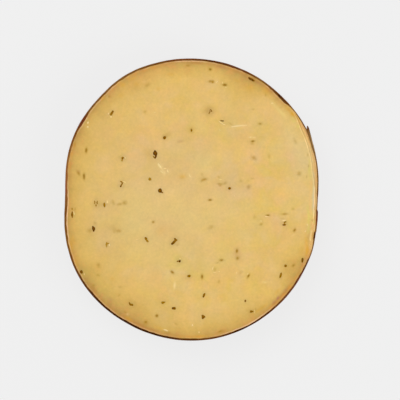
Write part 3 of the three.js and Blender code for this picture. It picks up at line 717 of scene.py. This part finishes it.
def seed_mesh(length, width, form, bend, rng, around=22):
    """One caraway seed cut off flat at the cheese's face: a ribbed rim of husk, a flat cut and a keel below. Local mm."""
    a = np.arange(around) * 2 * math.pi / around
    r = cut_outline(form, a)
    r = r * (1 + 0.05 * np.sin(2 * a + rng.uniform(0, 6.3)) + 0.05 * np.sin(3 * a + rng.uniform(0, 6.3)) + 0.035 * np.cos(7 * a + rng.uniform(0, 6.3)))
    rings = [(1.00, -0.10), (0.97, 0.00), (0.88, 0.028), (0.72, 0.020), (0.50, 0.012), (0.26, 0.010)]
    below = [(0.96, -0.10 - 0.12 * width), (0.74, -0.10 - 0.30 * width), (0.40, -0.10 - 0.44 * width)]
    verts, reach = [], []
    lean = rng.uniform(-0.03, 0.03)
    for k, z in below[::-1] + rings:
        u, v = k * r * np.cos(a), k * r * np.sin(a)
        x, y = u * length / 2, v * width / 2 + bend * length * 0.5 * (0.5 - u * u)
        verts.append(np.stack([x, y, z + lean * u + 0 * x], -1))
        reach.append(np.full(around, k if z > -0.11 else 1.0))
    verts.append(np.array([[0.0, bend * length * 0.25, 0.008], [0.0, bend * length * 0.25, -0.10 - 0.5 * width]]))
    reach.append(np.array([0.0, 1.0]))
    count = len(below) + len(rings)
    faces = []
    top, keel = count * around, count * around + 1
    for j in range(around):
        k = (j + 1) % around
        faces.append((keel, k, j))
        faces.append((top, (count - 1) * around + j, (count - 1) * around + k))
        for i in range(count - 1):
            p, q = i * around, (i + 1) * around
            faces.append((p + j, p + k, q + k, q + j))
    return np.concatenate(verts), faces, np.concatenate(reach)


def build_seeds(name, rows, z_face, flip, seed):
    rng = np.random.default_rng(seed)
    verts, faces, husk, core = [], [], [], []
    count = 0
    for x, y, length, width, deg, tone, form, bend in rows:
        v, f, reach = seed_mesh(length + 0.14, width + 0.12, form, bend, rng)
        c, s = math.cos(math.radians(deg)), math.sin(math.radians(deg))
        px, py, z = v[:, 0], v[:, 1], v[:, 2]
        if flip:
            px, z = -px, -z
        verts.append(np.stack([x + px * c - py * s, y + px * s + py * c, z_face + z], -1))
        faces += [tuple(i + count for i in q) for q in f]
        count += len(v)
        end = rng.choice([-1, 1]) * v[:, 0] / (length / 2)
        husk.append(np.clip(tone + 0.05 * end * (tone > 0.7), 0, 1.05))
        core.append(np.clip(1 - reach * 1.15, 0, 1) * rng.uniform(0.1, 0.9))
    return new_object(name, np.concatenate(verts), faces, {"husk": np.concatenate(husk), "core": np.concatenate(core)})


def build_lips():
    """Torn lips and crumbs: low lens-shaped ridges rooted in the cut face."""
    rng = np.random.default_rng(205)
    around = 14
    a = np.arange(around) * 2 * math.pi / around
    verts, faces, pale = [], [], []
    count = 0
    for x, y, length, width, deg, bend, strength in LIPS:
        c, s = math.cos(math.radians(deg)), math.sin(math.radians(deg))
        ragged = 1 + 0.10 * np.sin(2 * a + rng.uniform(0, 6.3)) + 0.07 * np.sin(3 * a + rng.uniform(0, 6.3)) + 0.05 * np.sin(5 * a + rng.uniform(0, 6.3))
        high = 0.05 + 0.07 * strength
        rows = [(0.85, -0.14), (1.0, -0.06), (0.86, 0.25 * high), (0.60, 0.75 * high), (0.30, 0.97 * high)]
        tilt = rng.uniform(-0.25, 0.25) * high
        for k, z in rows:
            u, v = k * ragged * np.cos(a), k * ragged * np.sin(a)
            px, py = u * length / 2, v * width / 2 * (1 - 0.18 * u) + bend * length * (0.5 - u * u)
            verts.append(np.stack([x + px * c - py * s, y + px * s + py * c, THICK - 0.05 + z + tilt * u * (z > 0)], -1))
            pale.append(np.full(around, strength * (0.75 if k > 0.95 or z < 0 else 1.0)))
        for z in (high, -0.16):
            py = bend * length * 0.5
            verts.append(np.array([[x - py * s, y + py * c, THICK - 0.05 + z]]))
            pale.append(np.array([strength]))
        top, keel = count + 5 * around, count + 5 * around + 1
        for j in range(around):
            k = (j + 1) % around
            faces.append((keel, count + k, count + j))
            faces.append((top, count + 4 * around + j, count + 4 * around + k))
            for i in range(4):
                p, q = count + i * around, count + (i + 1) * around
                faces.append((p + j, p + k, q + k, q + j))
        count += 5 * around + 2
    return new_object("cheese_crumbs", np.concatenate(verts), faces, {"pale": np.clip(np.concatenate(pale), 0, 1)})


# ---- materials ---------------------------------------------------------------
def linear(r, g, b):
    def one(c):
        c = c / 255.0
        return c / 12.92 if c <= 0.04045 else ((c + 0.055) / 1.055) ** 2.4
    return (one(r), one(g), one(b), 1.0)


class Nodes:
    """A short way of writing a node tree."""

    def __init__(self, name):
        self.material = bpy.data.materials.new(name)
        self.material.use_nodes = True
        self.tree = self.material.node_tree
        self.tree.nodes.clear()
        self.output = self.tree.nodes.new("ShaderNodeOutputMaterial")
        self.shader = self.tree.nodes.new("ShaderNodeBsdfPrincipled")
        self.link(self.shader.outputs[0], self.output.inputs["Surface"])
        self.coords = self.tree.nodes.new("ShaderNodeTexCoord").outputs["Object"]

    def link(self, a, b):
        self.tree.links.new(a, b)

    def put(self, value, socket):
        if isinstance(value, bpy.types.NodeSocket):
            self.link(value, socket)
        elif value is not None:
            socket.default_value = value

    def mapped(self, scale=(1, 1, 1), rotate=(0, 0, 0), source=None):
        node = self.tree.nodes.new("ShaderNodeMapping")
        self.link(source or self.coords, node.inputs["Vector"])
        node.inputs["Rotation"].default_value = rotate
        node.inputs["Scale"].default_value = scale
        return node.outputs["Vector"]

    def noise(self, size_mm, detail=2.0, rough=0.5, distort=0.0, vector=None, offset=0.0):
        node = self.tree.nodes.new("ShaderNodeTexNoise")
        node.noise_dimensions = "4D"
        node.inputs["W"].default_value = offset
        self.link(vector or self.coords, node.inputs["Vector"])
        node.inputs["Scale"].default_value = 1000.0 / size_mm
        node.inputs["Detail"].default_value = detail
        node.inputs["Roughness"].default_value = rough
        node.inputs["Distortion"].default_value = distort
        return node.outputs["Fac"]

    def voronoi(self, size_mm, feature="F1", vector=None, randomness=1.0):
        node = self.tree.nodes.new("ShaderNodeTexVoronoi")
        node.feature = feature
        self.link(vector or self.coords, node.inputs["Vector"])
        node.inputs["Scale"].default_value = 1000.0 / size_mm
        node.inputs["Randomness"].default_value = randomness
        return node.outputs["Distance"]

    def attribute(self, name):
        node = self.tree.nodes.new("ShaderNodeAttribute")
        node.attribute_name = name
        return node.outputs["Fac"]

    def math(self, operation, a, b=None, c=None, clamp=False):
        node = self.tree.nodes.new("ShaderNodeMath")
        node.operation = operation
        node.use_clamp = clamp
        for value, socket in zip((a, b, c), node.inputs):
            self.put(value, socket)
        return node.outputs[0]

    def ramp(self, fac, stops, mode="LINEAR"):
        node = self.tree.nodes.new("ShaderNodeValToRGB")
        node.color_ramp.interpolation = mode
        elements = node.color_ramp.elements
        while len(elements) < len(stops):
            elements.new(0.5)
        for element, (position, colour) in zip(elements, stops):
            element.position = position
            element.color = colour if not isinstance(colour, (int, float)) else (colour, colour, colour, 1)
        self.link(fac, node.inputs[0])
        return node.outputs[0]

    def mix(self, fac, a, b, blend="MIX"):
        node = self.tree.nodes.new("ShaderNodeMix")
        node.data_type = "RGBA"
        node.blend_type = blend
        self.put(fac, node.inputs[0])
        self.put(a, node.inputs[6])
        self.put(b, node.inputs[7])
        return node.outputs[2]

    def range(self, value, a, b, c, d):
        node = self.tree.nodes.new("ShaderNodeMapRange")
        self.put(value, node.inputs[0])
        for i, v in enumerate((a, b, c, d)):
            node.inputs[i + 1].default_value = v
        return node.outputs[0]

    def bump(self, height, strength, distance_mm, normal=None):
        node = self.tree.nodes.new("ShaderNodeBump")
        node.inputs["Strength"].default_value = strength
        node.inputs["Distance"].default_value = distance_mm * MM
        self.link(height, node.inputs["Height"])
        if normal is not None:
            self.link(normal, node.inputs["Normal"])
        return node.outputs["Normal"]


def cheese_material():
    n = Nodes("cheese_paste")
    fine = n.noise(9.0, 6.0, 0.72, 0.2, offset=7.7)
    # Slow drifts of hue over the cut: butter yellow to pale, peach to olive.
    pale = n.ramp(n.noise(21, 4.0, 0.62, 0.4), [(0.36, linear(221, 185, 86)), (0.64, linear(227, 189, 123))])
    warm = n.ramp(n.noise(15, 4.0, 0.62, 0.6, offset=3.1), [(0.37, linear(218, 187, 102)), (0.50, linear(225, 187, 105)), (0.64, linear(231, 185, 106))])
    body = n.mix(0.5, pale, warm)
    patchy = n.noise(7.6, 2.0, 0.55, 0.5, offset=71.0)
    body = n.mix(n.ramp(patchy, [(0.36, 0.85), (0.50, 0.0)]), body, linear(225, 189, 132))
    body = n.mix(n.ramp(patchy, [(0.50, 0.0), (0.64, 0.85)]), body, linear(224, 189, 90))
    tint = n.noise(9.0, 2.0, 0.6, 0.4, offset=91.0)
    body = n.mix(n.ramp(tint, [(0.36, 0.65), (0.50, 0.0)]), body, linear(231, 184, 114))
    body = n.mix(n.ramp(tint, [(0.50, 0.0), (0.64, 0.65)]), body, linear(219, 190, 114))
    heart = n.math("MULTIPLY", n.attribute("heart"), n.math("MULTIPLY_ADD", n.noise(13, 3.0, 0.6, 0.5, offset=40.0), 1.0, 0.1), clamp=True)
    body = n.mix(heart, body, linear(226, 189, 124))
    dull = n.math("MULTIPLY", n.attribute("dull"), n.math("MULTIPLY_ADD", n.noise(9, 3.0, 0.6, 0.5, offset=43.0), 1.6, 0.0), clamp=True)
    body = n.mix(dull, body, linear(220, 192, 122))
    # Smoke from the rind inwards.
    smoke = n.attribute("smoke")
    uneven = n.math("MULTIPLY_ADD", n.noise(4.2, 3.0, 0.6, 0.5, offset=5.0), 0.5, 0.75)
    smoke = n.math("MULTIPLY", smoke, uneven)
    smoked = n.ramp(smoke, [
        (0.00, linear(224, 189, 110)), (0.10, linear(222, 184, 101)), (0.24, linear(216, 177, 93)),
        (0.42, linear(205, 164, 84)), (0.66, linear(190, 148, 76)), (0.95, linear(172, 133, 66)),
    ])
    shift = n.ramp(smoke, [(0.0, 0.0), (0.10, 0.45), (0.26, 1.0)])
    colour = n.mix(shift, body, smoked)
    # Close to the rind the smoke is patchy between orange and olive.
    patch = n.noise(3.0, 2.0, 0.5, 0.8, offset=17.0)
    orange = n.math("MULTIPLY", n.ramp(patch, [(0.52, 0.0), (0.66, 1.0)]), n.ramp(smoke, [(0.2, 0.0), (0.5, 0.5)]))
    colour = n.mix(orange, colour, linear(217, 156, 84))
    green = n.math("MULTIPLY", n.ramp(patch, [(0.34, 1.0), (0.47, 0.0)]), n.ramp(smoke, [(0.15, 0.0), (0.45, 0.55)]))
    colour = n.mix(green, colour, linear(197, 164, 82))
    colour = n.mix(n.math("MULTIPLY", n.attribute("near"), 1.0, clamp=True), colour, linear(186, 134, 66))
    # Slow drifts over the whole cut: lighter or duller, rosier or greener, more or less golden.
    bright, rosy, golden = n.attribute("bright"), n.attribute("rosy"), n.attribute("golden")
    drift = n.tree.nodes.new("ShaderNodeCombineColor")
    n.link(n.math("MULTIPLY_ADD", rosy, 0.026, n.math("MULTIPLY_ADD", bright, 0.12, 1.0)), drift.inputs[0])
    n.link(n.math("MULTIPLY_ADD", rosy, -0.030, n.math("MULTIPLY_ADD", bright, 0.12, 1.0)), drift.inputs[1])
    n.link(n.math("MULTIPLY_ADD", golden, -0.18, n.math("MULTIPLY_ADD", bright, 0.12, 1.0)), drift.inputs[2])
    colour = n.mix(1.0, colour, drift.outputs[0], "MULTIPLY")
    # Stains, seeds showing through, pale lips and crumbs, and a painted highlight along the worn margin's crest.
    colour = n.mix(n.math("MULTIPLY", n.attribute("amber"), 0.88, clamp=True), colour, linear(217, 162, 46))
    colour = n.mix(n.math("MULTIPLY", n.attribute("ruddy"), 0.75, clamp=True), colour, linear(172, 110, 86))
    grain = n.noise(0.9, 2.0, 0.6, 0.0, offset=2.0)
    sunk = n.math("MULTIPLY", n.attribute("sunk"), n.math("MULTIPLY_ADD", grain, 1.2, 0.4))
    colour = n.mix(n.math("MULTIPLY", sunk, 1.0, clamp=True), colour, linear(168, 124, 14))
    honey = n.math("MULTIPLY", n.attribute("honey"), n.math("MULTIPLY_ADD", grain, 0.6, 0.7))
    colour = n.mix(n.math("MULTIPLY", honey, 0.80, clamp=True), colour, linear(176, 134, 28))
    colour = n.mix(n.range(honey, 0.55, 1.35, 0.0, 0.85), colour, linear(140, 100, 0))
    colour = n.mix(n.math("MULTIPLY", n.attribute("tan"), n.math("MULTIPLY_ADD", fine, 0.9, 0.35), clamp=True), colour, linear(219, 171, 103))
    peach = n.math("MULTIPLY", n.attribute("peach"), n.math("MULTIPLY_ADD", fine, 1.0, 0.3), clamp=True)
    colour = n.mix(peach, colour, linear(236, 190, 116))
    green = n.math("MULTIPLY", n.attribute("green"), n.math("MULTIPLY_ADD", fine, 1.2, 0.2), clamp=True)
    colour = n.mix(green, colour, linear(220, 198, 104))
    colour = n.mix(n.math("MULTIPLY", n.attribute("milk"), n.math("MULTIPLY_ADD", fine, 0.8, 0.6), clamp=True), colour, linear(210, 196, 164))
    mottle = n.math("MULTIPLY_ADD", fine, 0.30, 0.85)
    mottle = n.math("MULTIPLY", mottle, n.math("MULTIPLY_ADD", n.noise(0.9, 2.0, 0.6, 0.0, offset=51.0), 0.20, 0.90))
    mottle_colour = n.tree.nodes.new("ShaderNodeCombineColor")
    for i in range(3):
        n.link(mottle, mottle_colour.inputs[i])
    colour = n.mix(1.0, colour, mottle_colour.outputs[0], "MULTIPLY")
    # The pale colour also carries the painted highlight along the worn margin's crest.
    colour = n.mix(n.math("MULTIPLY", n.attribute("pale"), 0.85, clamp=True), colour, linear(248, 218, 152))
    # The low step of the worn margin: a thin brown line, and inside it a painted highlight along the step's lip.
    ledge = n.attribute("ledge")
    line = n.range(n.math("ABSOLUTE", n.math("ADD", ledge, 0.36)), 0.04, 0.30, 1.0, 0.0)
    colour = n.mix(n.math("MULTIPLY", n.math("MULTIPLY", line, n.attribute("ledge_line")), 0.9, clamp=True), colour, linear(168, 122, 56))
    # Painted highlight: a pale stripe along the step's lip.
    line = n.range(n.math("ABSOLUTE", ledge), 0.05, 0.30, 1.0, 0.0)
    colour = n.mix(n.math("MULTIPLY", n.math("MULTIPLY", line, n.attribute("ledge_highlight")), 0.9, clamp=True), colour, linear(252, 218, 150))
    # Just inside the rind: bright orange in places, and a thin pale lip.
    inner = n.attribute("inner")
    glow = n.math("MULTIPLY", n.range(inner, 0.0, 0.28, 0.0, 1.0), n.range(inner, 0.65, 1.5, 1.0, 0.0))
    colour = n.mix(n.math("MULTIPLY", n.math("MULTIPLY", glow, n.attribute("glow")), 0.55, clamp=True), colour, linear(222, 155, 62))
    lip = n.math("MULTIPLY", n.range(inner, 0.0, 0.10, 0.0, 1.0), n.range(inner, 0.24, 0.55, 1.0, 0.0))
    lip = n.math("MULTIPLY", lip, n.attribute("lip"))
    lip = n.math("MULTIPLY", lip, n.math("MULTIPLY_ADD", n.noise(2.6, 2.0, 0.6, 0.0, offset=61.0), 1.2, 0.1), clamp=True)
    colour = n.mix(lip, colour, linear(242, 196, 148))
    n.link(colour, n.shader.inputs["Base Color"])
    rough = n.range(n.noise(6.0, 3.0, 0.6, offset=9.0), 0.3, 0.7, 0.36, 0.52)
    n.link(rough, n.shader.inputs["Roughness"])
    n.shader.inputs["Specular IOR Level"].default_value = 0.20
    n.shader.inputs["Subsurface Weight"].default_value = 0.12
    n.shader.inputs["Subsurface Radius"].default_value = (1.0, 0.6, 0.25)
    n.shader.inputs["Subsurface Scale"].default_value = 0.0016
    stroke = n.mapped(scale=(1.0, 5.0, 1.0), rotate=(0, 0, -KNIFE))
    drag = n.noise(7.0, 4.0, 0.6, 0.3, vector=stroke, offset=1.0)
    curd = n.noise(1.1, 3.0, 0.55, 0.0, offset=21.0)
    normal = n.bump(drag, 0.35, 0.10)
    normal = n.bump(curd, 0.25, 0.05, normal)
    n.link(normal, n.shader.inputs["Normal"])
    return n.material


def rind_material():
    n = Nodes("smoked_rind")
    dark, red, cut = n.attribute("dark"), n.attribute("red"), n.attribute("cut")
    along = n.mapped(scale=(1.0, 1.0, 0.45))
    blotch = n.noise(11.0, 5.0, 0.62, 0.15, vector=along)
    streak = n.noise(2.4, 3.0, 0.6, 0.2, vector=along, offset=4.0)
    # The wall: chestnut brown with darker smoke and thinner honey-coloured patches.
    wall = n.ramp(blotch, [(0.30, linear(100, 58, 24)), (0.46, linear(126, 77, 34)), (0.60, linear(146, 94, 44)), (0.76, linear(166, 112, 56))])
    wall = n.mix(n.ramp(streak, [(0.50, 0.0), (0.72, 0.40)]), wall, linear(88, 50, 20))
    wall = n.mix(n.math("MULTIPLY", n.ramp(n.attribute("height"), [(0.86, 0.0), (0.99, 1.0)]), 0.45), wall, linear(74, 42, 16))
    wall = n.mix(n.math("MULTIPLY", n.ramp(n.attribute("height"), [(0.01, 1.0), (0.12, 0.0)]), 0.35), wall, linear(80, 46, 18))
    # The knife-cut edge, darker where the smoke is heavy.
    edge = n.ramp(dark, [(0.0, linear(188, 146, 84)), (0.35, linear(150, 109, 50)), (0.65, linear(118, 75, 28)), (0.85, linear(93, 54, 18)), (1.0, linear(58, 27, 0))])
    edge = n.mix(n.math("MULTIPLY", n.noise(0.7, 2.0, 0.6, offset=6.0), 0.18), edge, linear(56, 28, 0))
    edge = n.mix(n.math("MULTIPLY", red, 0.6, clamp=True), edge, linear(140, 62, 42))
    # Painted shadow of the torn tongue, in grey.
    edge = n.mix(n.math("MULTIPLY", n.attribute("shadow_grey"), 0.6, clamp=True), edge, linear(126, 104, 74))
    colour = n.mix(n.math("MULTIPLY", cut, 1.0, clamp=True), wall, edge)
    n.link(colour, n.shader.inputs["Base Color"])
    rough = n.range(n.noise(3.0, 3.0, 0.6, offset=8.0), 0.3, 0.7, 0.34, 0.55)
    n.link(rough, n.shader.inputs["Roughness"])
    n.shader.inputs["Specular IOR Level"].default_value = 0.02
    normal = n.bump(n.noise(1.6, 4.0, 0.6, 0.6, vector=along, offset=3.0), 0.45, 0.14)
    normal = n.bump(n.voronoi(0.9, "F1"), 0.18, 0.05, normal)
    n.link(normal, n.shader.inputs["Normal"])
    return n.material


def seed_material():
    n = Nodes("caraway_husk")
    husk, core = n.attribute("husk"), n.attribute("core")
    grain = n.noise(0.45, 3.0, 0.6, 0.3)
    patch = n.noise(1.1, 2.0, 0.5, 0.4, offset=4.0)
    shade = n.math("MULTIPLY_ADD", n.math("SUBTRACT", patch, 0.5), 0.55, husk)
    shade = n.math("MULTIPLY_ADD", n.math("SUBTRACT", grain, 0.5), 0.30, shade, clamp=True)
    colour = n.ramp(shade, [
        (0.30, linear(192, 151, 76)), (0.48, linear(179, 138, 50)), (0.62, linear(164, 122, 26)), (0.76, linear(145, 102, 8)),
        (0.88, linear(118, 75, 0)), (1.00, linear(84, 45, 0)),
    ])
    colour = n.mix(n.math("MULTIPLY", core, 0.5), colour, linear(160, 104, 18))
    n.link(colour, n.shader.inputs["Base Color"])
    n.link(n.range(grain, 0.3, 0.7, 0.5, 0.7), n.shader.inputs["Roughness"])
    n.shader.inputs["Specular IOR Level"].default_value = 0.04
    n.link(n.bump(grain, 0.4, 0.06), n.shader.inputs["Normal"])
    return n.material


# ---- the part ------------------------------------------------------------------
cheese = build_cheese()
cheese.data.materials.append(cheese_material())
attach(cheese, "root")
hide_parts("cheese")

crumbs = build_lips()
crumbs.data.materials.append(cheese.data.materials[0])
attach(crumbs, "root")

rind = build_rind()
rind.data.materials.append(rind_material())
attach(rind, "root")

tongue = build_tongue()
tongue.data.materials.append(rind.data.materials[0])
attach(tongue, "root")

husk = seed_material()
seeds_top = build_seeds("caraway_upper", SEEDS, THICK - 0.03, False, 101)
seeds_top.data.materials.append(husk)
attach(seeds_top, "root")

rng = np.random.default_rng(404)
under_rows = []
while len(under_rows) < 62:
    a, k = rng.uniform(-math.pi, math.pi), math.sqrt(rng.uniform(0, 1))
    r = k * (float(outline(np.array([a]))[0]) - 3.0)
    px, py = r * math.cos(a), r * math.sin(a)
    if all((px - q[0]) ** 2 + (py - q[1]) ** 2 > 9 for q in under_rows):
        under_rows.append((px, py, rng.uniform(0.9, 2.4), rng.uniform(0.5, 1.1), rng.uniform(0, 180), rng.uniform(0.6, 1.0), ["oval", "box", "diamond", "tri", "oval"][int(rng.integers(0, 5))], rng.uniform(-0.15, 0.3)))
seeds_under = build_seeds("caraway_lower", under_rows, -0.008, True, 102)
seeds_under.data.materials.append(husk)
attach(seeds_under, "root")

# ---- floor, backdrop, light and camera --------------------------------------------
PALE_FLOOR = 0.863                   # linear value of the pale background


def stage_material(name, emission, diffuse, share):
    material = bpy.data.materials.new(name)
    material.use_nodes = True
    tree = material.node_tree
    tree.nodes.clear()
    out = tree.nodes.new("ShaderNodeOutputMaterial")
    glow = tree.nodes.new("ShaderNodeEmission")
    glow.inputs["Color"].default_value = (emission, emission, emission, 1)
    if share <= 0:
        tree.links.new(glow.outputs[0], out.inputs[0])
        return material
    matte = tree.nodes.new("ShaderNodeBsdfDiffuse")
    matte.inputs["Color"].default_value = (diffuse, diffuse, diffuse, 1)
    mix = tree.nodes.new("ShaderNodeMixShader")
    mix.inputs[0].default_value = share
    tree.links.new(glow.outputs[0], mix.inputs[1])
    tree.links.new(matte.outputs[0], mix.inputs[2])
    tree.links.new(mix.outputs[0], out.inputs[0])
    return material


def disc(name, radius_m, z_m, segments=96):
    verts = [(0, 0, z_m)] + [(radius_m * math.cos(2 * math.pi * i / segments), radius_m * math.sin(2 * math.pi * i / segments), z_m) for i in range(segments)]
    faces = [(0, 1 + i, 1 + (i + 1) % segments) for i in range(segments)]
    mesh = bpy.data.meshes.new(name)
    mesh.from_pydata(verts, [], faces)
    obj = bpy.data.objects.new(name, mesh)
    bpy.context.scene.collection.objects.link(obj)
    return obj


floor = disc("floor", 4.0, -0.0001)
floor.data.materials.append(stage_material("floor_pale", PALE_FLOOR + 0.008, 0.86, 0.10))

# A pale backdrop rises from the floor all round.
segments, backdrop_rings = 96, [(3.2, 0.0), (3.6, 0.06), (3.85, 0.3), (3.95, 0.8), (3.98, 2.2)]
mesh = bpy.data.meshes.new("backdrop")
mesh.from_pydata(
    [(r * math.cos(2 * math.pi * i / segments), r * math.sin(2 * math.pi * i / segments), z) for r, z in backdrop_rings for i in range(segments)], [],
    [(k * segments + (i + 1) % segments, k * segments + i, (k + 1) * segments + i, (k + 1) * segments + (i + 1) % segments) for k in range(len(backdrop_rings) - 1) for i in range(segments)])
backdrop = bpy.data.objects.new("backdrop", mesh)
bpy.context.scene.collection.objects.link(backdrop)
backdrop.data.materials.append(stage_material("backdrop_pale", 0.84, 0.86, 0.0))

world = bpy.data.worlds.new("studio")
world.use_nodes = True
world.node_tree.nodes["Background"].inputs["Color"].default_value = (1.0, 1.0, 1.0, 1)
world.node_tree.nodes["Background"].inputs["Strength"].default_value = 0.41
bpy.context.scene.world = world


def area(name, place, aim, size, watts, colour=(1, 1, 1)):
    light = bpy.data.lights.new(name, "AREA")
    light.shape = "DISK"
    light.size = size
    light.energy = watts
    light.color = colour
    obj = bpy.data.objects.new(name, light)
    obj.location = place
    from mathutils import Vector
    obj.rotation_euler = (Vector(aim) - Vector(place)).to_track_quat("-Z", "Y").to_euler()
    bpy.context.scene.collection.objects.link(obj)
    return obj


area("key", (-0.34, 0.45, 1.08), (0, 0, 0.01), 0.9, 6.0)
area("fill", (0.7, -0.38, 0.82), (0, 0, 0.01), 0.8, 3.66)

scene = bpy.context.scene
scene.view_settings.view_transform = "Standard"
scene.view_settings.look = "None"
scene.view_settings.exposure = 0.0
scene.view_settings.gamma = 1.0

camera_data = bpy.data.cameras.new("camera")
camera = bpy.data.objects.new("camera", camera_data)
scene.collection.objects.link(camera)
DISTANCE = 1.0                       # metres above the upper cut face
FIELD = 0.1497                       # metres across the picture at that face
camera_data.sensor_width = 36.0
camera_data.lens = 36.0 * DISTANCE / FIELD
camera_data.clip_end = 50.0
camera.location = (0.00325, -0.00015, THICK * MM + DISTANCE)
camera.rotation_euler = (0, 0, 0)
scene.camera = camera
